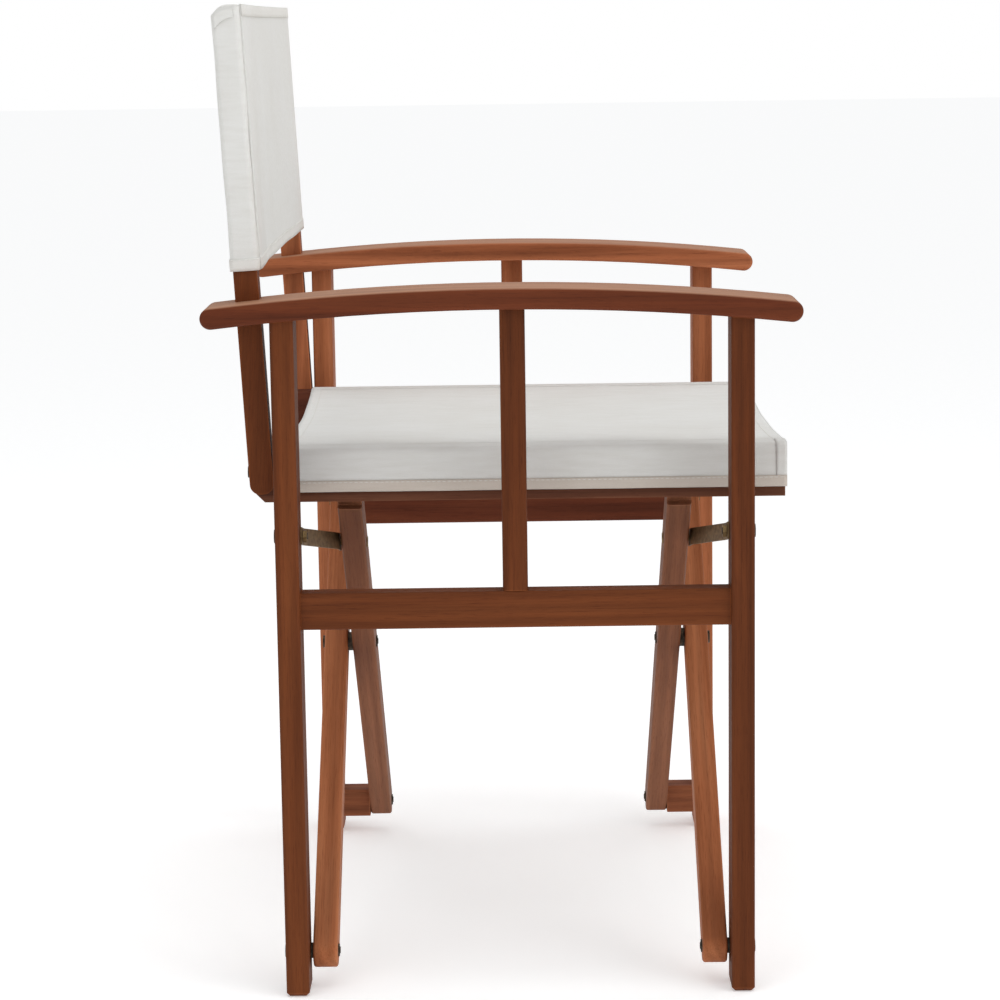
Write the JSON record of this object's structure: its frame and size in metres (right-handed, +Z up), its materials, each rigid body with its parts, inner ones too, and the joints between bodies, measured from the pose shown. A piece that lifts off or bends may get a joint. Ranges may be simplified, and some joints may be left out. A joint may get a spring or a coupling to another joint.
{
  "type": "folding director chair",
  "caption": "Folding director chair: two wooden side frames on scissor legs, with a slung canvas seat and a canvas back between leaning posts.",
  "frame": {"origin": "on the floor under the middle of the overall box", "axes": "+Z up, the sitter faces -Y, the chair's right side is -X"},
  "size_m": [0.596, 0.517, 0.8726],
  "materials": {
    "wood": "oiled satin",
    "wood_inner": "oiled satin",
    "canvas": "plain weave",
    "strap_steel": "bronzed",
    "fastener_steel": "dulled"
  },
  "bodies": {
    "right_frame": {"right_armrest": "wood", "right_front_leg": "wood", "right_rear_leg": "wood", "right_lower_rail": "wood", "right_upright_slat": "wood", "right_frame_dowels": "wood", "right_back_post": "wood", "right_post_bolt": "fastener_steel", "right_post_spacer": "fastener_steel", "right_foot_bolts": "fastener_steel", "right_foot_nuts": "fastener_steel", "right_stay_bolts": "fastener_steel", "right_stay_nuts": "fastener_steel", "back_canvas_right_sleeve": "canvas", "back_canvas": "canvas"},
    "outer_cross_legs": {"outer_cross_leg_rear": "wood", "outer_cross_leg_front": "wood", "centre_bolts": "fastener_steel", "centre_nuts_and_washers": "fastener_steel", "outer_leg_pegs": "fastener_steel"},
    "inner_cross_legs": {"inner_cross_leg_rear": "wood_inner", "inner_cross_leg_front": "wood_inner", "inner_leg_pegs": "fastener_steel"},
    "left_frame": {"left_armrest": "wood", "left_front_leg": "wood", "left_rear_leg": "wood", "left_lower_rail": "wood", "left_upright_slat": "wood", "left_frame_dowels": "wood", "left_back_post": "wood", "left_post_bolt": "fastener_steel", "left_post_spacer": "fastener_steel", "left_foot_bolts": "fastener_steel", "left_foot_nuts": "fastener_steel", "left_stay_bolts": "fastener_steel", "left_stay_nuts": "fastener_steel", "back_canvas_left_sleeve": "canvas", "left_foot_spacers": "wood"},
    "right_rail": {"right_seat_rail": "wood", "right_rail_brackets": "fastener_steel", "right_rail_pins": "fastener_steel", "right_rail_screws": "fastener_steel", "seat_canvas_right_wrap": "canvas", "seat_canvas": "canvas"},
    "left_rail": {"left_seat_rail": "wood", "left_rail_brackets": "fastener_steel", "left_rail_pins": "fastener_steel", "left_rail_screws": "fastener_steel", "seat_canvas_left_wrap": "canvas"},
    "right_stays": {"right_rear_stay": "strap_steel", "right_front_stay": "strap_steel"},
    "left_stays": {"left_rear_stay": "strap_steel", "left_front_stay": "strap_steel"}
  },
  "joints": [
    {"name": "fold", "type": "hinge", "parent": "right_frame", "child": "outer_cross_legs", "pos_m": [-0.258, 0, 0.032], "axis": [0, -1, 0], "range_deg": [0, 35.06], "deforming": ["seat_canvas", "back_canvas"]},
    {"name": "centre_pivot", "type": "hinge", "parent": "outer_cross_legs", "child": "inner_cross_legs", "pos_m": [0, 0, 0.26084], "axis": [0, -1, 0], "range_deg": [-77.69, 0]},
    {"name": "left_foot_pivot", "type": "hinge", "parent": "inner_cross_legs", "child": "left_frame", "pos_m": [0.258, 0, 0.032], "axis": [0, -1, 0], "range_deg": [0, 35.56]},
    {"name": "left_rail_pivot", "type": "hinge", "parent": "outer_cross_legs", "child": "left_rail", "pos_m": [0.211, 0, 0.448], "axis": [0, -1, 0], "range_deg": [-39.1, 0]},
    {"name": "right_rail_pivot", "type": "hinge", "parent": "inner_cross_legs", "child": "right_rail", "pos_m": [-0.211, 0, 0.448], "axis": [0, -1, 0], "range_deg": [0, 39.1]},
    {"name": "right_stay_pivot", "type": "hinge", "parent": "right_frame", "child": "right_stays", "pos_m": [-0.262, 0, 0.411], "axis": [0, -1, 0], "range_deg": [-66, 0]},
    {"name": "left_stay_pivot", "type": "hinge", "parent": "left_frame", "child": "left_stays", "pos_m": [0.262, 0, 0.411], "axis": [0, -1, 0], "range_deg": [0, 66]}
  ],
  "couplings": [
    {"joint": "centre_pivot", "follows": "fold", "ratio": -2.2018},
    {"joint": "left_foot_pivot", "follows": "fold", "ratio": 1},
    {"joint": "left_rail_pivot", "follows": "fold", "ratio": -1.1009},
    {"joint": "right_rail_pivot", "follows": "fold", "ratio": 1.1009},
    {"joint": "right_stay_pivot", "follows": "fold", "ratio": -1.854},
    {"joint": "left_stay_pivot", "follows": "fold", "ratio": 1.854}
  ]
}
